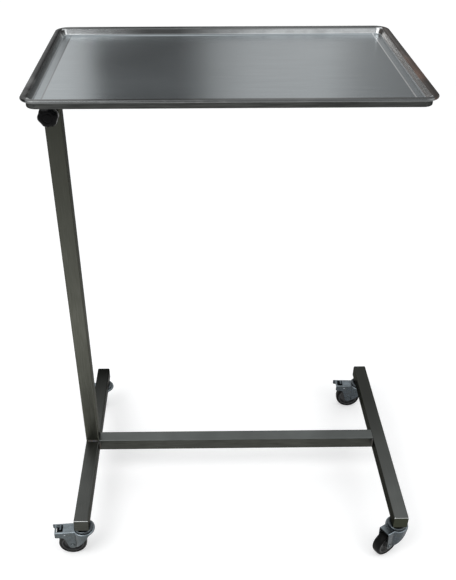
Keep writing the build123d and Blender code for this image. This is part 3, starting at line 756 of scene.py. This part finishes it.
def beadRings(corner, along, first, second):
    # a rippled fillet along a corner; first and second point away from it over the two faces
    length = bead["length"]
    steps = int(length / bead["pitch"] * bead["perPitch"])
    rings = []
    for i in range(steps + 1):
        place = -length / 2 + length * i / steps
        ends = min(1.0, (length / 2 - abs(place)) / bead["taper"] + bead["endShare"])
        middle = corner + along * place * mm
        ring = [tuple(middle)]
        for k in range(bead["across"] + 1):
            angle = math.pi / 2 * k / bead["across"]
            bow = math.sin(2 * angle)
            phase = ((place - bow * bead["lag"]) / bead["pitch"]) % 1.0
            swell = 1 - bead["ripple"] * (1 - math.sin(math.pi * phase) ** bead["crest"])
            reach = bead["leg"] * ends * swell / (math.cos(angle) + math.sin(angle))
            spoke = first * math.cos(angle) + second * math.sin(angle)
            ring.append(tuple(middle + spoke * reach * mm))
        rings.append(ring)
    return rings


def makeWelds():
    columnLow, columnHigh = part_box("column_tube")
    column = (columnLow + columnHigh) / 2
    halfSide = (columnHigh.x - columnLow.x) / 2
    crossLow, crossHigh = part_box("cross_tube")
    crossMiddle = (crossLow + crossHigh) / 2
    x, y, z = Vector((1, 0, 0)), Vector((0, 1, 0)), Vector((0, 0, 1))
    points, faces = [], []
    for side in (-1, 1):
        # one along the column's foot, two up the ends of the cross tube
        foot = Vector((column.x, column.y + side * halfSide, columnLow.z))
        runs = [beadRings(foot, x, y * side, z)]
        for end, inward in ((crossLow.x, x), (crossHigh.x, -x)):
            corner = Vector((end, crossMiddle.y + side * halfSide, crossMiddle.z))
            runs.append(beadRings(corner, z, inward, y * side))
        for rings in runs:
            more, quads = skin(rings)
            faces += [tuple(i + len(points) for i in quad) for quad in quads]
            points += more
    makePiece("weldBeads", points, faces, "base", "weldBead", ["base_welds"],
              bead["sharp"])


makeWelds()
print("welds made")

# the casters
# profiles give (distance along the axis, radius) in millimetres, the wheel's up to its middle
wheel = {
    "halfTyre": [(-8.6, 24.05), (-9.3, 24.4), (-9.4, 25.0), (-9.2, 25.3), (-9.5, 25.7),
                 (-9.9, 26.2), (-9.6, 27.4), (-8.7, 28.5), (-7.2, 29.35), (-5.0, 29.8),
                 (-2.5, 29.93), (-0.35, 29.95), (-0.2, 30.0)],
    "halfCore": [(-11.5, 3.1), (-11.5, 7.4), (-11.1, 8.2), (-10.2, 8.7), (-4.6, 9.2), (-3.4, 9.8),
                 (-2.9, 11.0), (-2.6, 17.6), (-3.2, 19.0), (-4.6, 20.2), (-7.9, 21.0),
                 (-8.4, 21.4), (-8.5, 22.0), (-8.5, 23.9)],
    "tyreSteps": 96, "coreSteps": 72, "sharp": 40}
raceCap = {"profile": [(1.3, 19.1), (1.2, 19.4), (1.2, 20.3), (1.5, 20.6), (2.8, 20.6),
                       (3.9, 20.3), (4.8, 19.5), (5.3, 18.2), (5.6, 16.6), (5.7, 14.0),
                       (5.7, 9.0), (5.7, 4.1), (4.3, 4.1), (4.2, 16.0), (4.0, 18.2), (3.2, 19.0)],
           "foot": 1.2, "steps": 72, "sharp": 40}


def bothHalves(half):
    return half + [(-along, radius) for along, radius in reversed(half)]


def makeWheel(corner):
    joint = joints[corner + "_wheel_roll"]
    centre, axis = joint["pos_m"], joint["axis"]
    body = corner + "_wheel"
    rings = turnedRings(bothHalves(wheel["halfTyre"]), centre, axis, wheel["tyreSteps"])
    points, faces = skin(rings, joinEnds=True)
    # the front left tyre takes the lighter rubber, the other three the darker
    tyreFinish = "lighterRubber" if corner == "front_left" else "darkerRubber"
    makePiece(corner + "_rubberTyre", points, faces, body, tyreFinish,
              [corner + "_tyre"], wheel["sharp"])
    rings = turnedRings(bothHalves(wheel["halfCore"]), centre, axis, wheel["coreSteps"])
    points, faces = skin(rings, joinEnds=True)
    makePiece(corner + "_wheelCentre", points, faces, body, "wheelNylon",
              [corner + "_wheel_core"], wheel["sharp"])


def makeRaceCap(corner):
    low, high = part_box(corner + "_race_cap")
    middle = Vector(((low.x + high.x) / 2, (low.y + high.y) / 2, low.z - raceCap["foot"] * mm))
    rings = turnedRings(raceCap["profile"], middle, (0, 0, 1), raceCap["steps"])
    points, faces = skin(rings, joinEnds=True)
    makePiece(corner + "_raceDish", points, faces, "base", "raceZinc",
              [corner + "_race_cap"], raceCap["sharp"])


for corner in casterCorners:
    makeWheel(corner)
    makeRaceCap(corner)
print("casters made")

# finishes of the parts carried over from the frame
carried = {
    "columnSteel": ["column_tube", "mast_tube", "clamp_boss"],
    "leftTubeSteel": ["left_side_tube"],
    "plateSteel": ["tube_end_plates"],
    "rightTubeSteel": ["right_side_tube"],
    "crossTubeSteel": ["cross_tube"],
    "armSteel": ["front_support_arm", "back_support_arm", "head_plate"],
    "guideNylon": ["column_bush", "mast_glide", "arm_plugs", "clamp_tip"],
    "brightZinc": ["stem_sockets"],
    "dullZinc": [],
    "turnedZinc": [],
    "leverSteel": [],
}
for corner in casterCorners:
    zincFinish = "brightZinc" if corner == "front_left" else "dullZinc"
    carried[zincFinish] += [corner + "_fork", corner + "_axle"]
    carried["turnedZinc"] += [corner + "_stem", corner + "_race_balls"]
for corner in brakedCorners:
    carried["leverSteel"].append(corner + "_brake_lever")
    carried["turnedZinc"].append(corner + "_brake_pin")
for finish, names in carried.items():
    for name in names:
        if not nodes[name].material_slots:
            nodes[name].data.materials.append(finishes[finish])
        nodes[name].material_slots[0].material = finishes[finish]
print("carried-over parts painted")

# stage, light and camera
stage = {"floorSize": 40.0, "floorShade": 0.78, "floorGlow": 0.36,
         "farGlow": 0.12, "far": (2.0, 30.0),
         "fibre": {"scale": 60.0, "detail": 2.0}, "fibreShade": 0.97, "fibreShare": 0.1,
         "skyline": (0.52, 0.66), "sky": (0.86, 0.87, 0.88, 1)}


def makeFloor():
    half = stage["floorSize"] / 2
    corners = [(-half, -half, 0), (half, -half, 0), (half, half, 0), (-half, half, 0)]
    mesh = bpy.data.meshes.new("floor")
    mesh.from_pydata(corners, [], [(0, 1, 2, 3)])
    floor = bpy.data.objects.new("floor", mesh)
    bpy.context.scene.collection.objects.link(floor)
    paper = Finish(bpy.data.materials.new("whitePaper"))
    fibre = paper.noise(**stage["fibre"]) * stage["fibreShare"]
    shade = stage["floorShade"]
    colour = paper.mixColour(fibre, grey(shade), grey(shade * stage["fibreShade"]))
    matte = paper.node("ShaderNodeBsdfDiffuse", {}, {"Color": colour})
    # the paper's own glow is seen and mirrored, and lights nothing
    seen = paper.node("ShaderNodeLightPath", {}, {}, "Is Camera Ray")
    for ray in ("Is Glossy Ray", "Is Transmission Ray"):
        seen = seen + paper.node("ShaderNodeLightPath", {}, {}, ray)
    across, along = paper.place(0), paper.place(1)
    far = paper.between(across * across + along * along, *stage["far"])
    shine = stage["floorGlow"] + far * stage["farGlow"]
    glow = paper.node("ShaderNodeEmission", {}, {"Color": shine, "Strength": seen})
    both = paper.node("ShaderNodeAddShader", {}, {0: matte, 1: glow})
    paper.node("ShaderNodeOutputMaterial", {}, {"Surface": both})
    mesh.materials.append(paper.owner)


# tones of the room round the stand, by compass direction from -Y through -X, +Y and +X
room = [(0.0, 0.12), (0.0025, 0.07), (0.02, 0.09), (0.0235, 0.6), (0.03, 0.8), (0.08, 0.55),
        (0.14, 0.7), (0.28, 0.42), (0.40, 0.74), (0.461, 0.84), (0.4720, 0.80), (0.4765, 0.6),
        (0.4800, 0.09), (0.4975, 0.07), (0.5010, 0.22), (0.5045, 0.42), (0.512, 0.60),
        (0.527, 0.66), (0.535, 0.36), (0.545, 0.24), (0.58, 0.34), (0.66, 0.7), (0.78, 0.5),
        (0.90, 0.36), (0.965, 0.5), (0.975, 0.66), (0.988, 0.6), (0.9955, 0.42), (1.0, 0.2)]


def makeWorld():
    world = bpy.data.worlds.new("studio")
    bpy.context.scene.world = world
    sky = Finish(world)
    x, y, z = [sky.axisOf("ShaderNodeTexCoord", "Generated", axis) for axis in range(3)]
    compass = sky.reckon("ARCTAN2", x, y) / (2 * math.pi) + 0.5
    walls = sky.node("ShaderNodeValToRGB", {"stops": room}, {0: compass})
    colour = sky.mixColour(sky.between(z, *stage["skyline"]), walls, stage["sky"])
    # the stand mirrors the room, and the camera sees plain white behind it
    mirrored = sky.node("ShaderNodeBackground", {}, {"Color": colour, "Strength": 1.0})
    plain = sky.node("ShaderNodeBackground", {}, {"Color": grey(1), "Strength": 1.0})
    seen = sky.node("ShaderNodeLightPath", {}, {}, "Is Camera Ray")
    both = sky.node("ShaderNodeMixShader", {}, {0: seen, 1: mirrored, 2: plain})
    sky.node("ShaderNodeOutputWorld", {}, {"Surface": both})


lamps = [
    {"name": "keySoftbox", "place": (-1.3, -1.2, 2.6), "size": 1.6, "power": 26},
    {"name": "fillSoftbox", "place": (1.9, -1.0, 2.0), "size": 1.4, "power": 12},
]
lampAim = (0, 0, 0.5)


def makeLamps():
    for lamp in lamps:
        data = bpy.data.lights.new(lamp["name"], "AREA")
        data.shape = "SQUARE"
        data.size = lamp["size"]
        data.energy = lamp["power"]
        light = bpy.data.objects.new(lamp["name"], data)
        bpy.context.scene.collection.objects.link(light)
        light.location = lamp["place"]
        aim = Vector(lampAim) - Vector(lamp["place"])
        light.rotation_euler = aim.to_track_quat("-Z", "Y").to_euler()


# where the photograph was taken from, in millimetres from the column's foot
# focal length, centre and picture are in pixels
viewpoint = {"place": (249.1, -1267.5, 1248.0), "pitch": 36.3, "yaw": 0.64, "roll": -0.1,
             "focal": 749.0, "centre": (205.4, 326.5), "picture": (456, 580), "sensor": 36.0}


def makeCamera():
    low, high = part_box("column_tube")
    foot = Vector(((low.x + high.x) / 2, (low.y + high.y) / 2, low.z))
    data = bpy.data.cameras.new("photoCamera")
    camera = bpy.data.objects.new("photoCamera", data)
    bpy.context.scene.collection.objects.link(camera)
    width, height = viewpoint["picture"]
    data.sensor_width = viewpoint["sensor"]
    data.lens = viewpoint["focal"] * viewpoint["sensor"] / height
    data.shift_x = (width / 2 - viewpoint["centre"][0]) / height
    data.shift_y = (viewpoint["centre"][1] - height / 2) / height
    camera.location = foot + Vector(viewpoint["place"]) * mm
    pitch, yaw = math.radians(viewpoint["pitch"]), math.radians(viewpoint["yaw"])
    level = math.cos(pitch)
    ahead = Vector((math.sin(yaw) * level, math.cos(yaw) * level, -math.sin(pitch)))
    look = ahead.to_track_quat("-Z", "Y").to_matrix().to_4x4()
    roll = Matrix.Rotation(math.radians(viewpoint["roll"]), 4, "Z")
    camera.rotation_euler = (look @ roll).to_euler()
    bpy.context.scene.camera = camera


makeFloor()
makeWorld()
makeLamps()
makeCamera()
bpy.context.scene.view_settings.view_transform = "Standard"
print("stage, light and camera made")
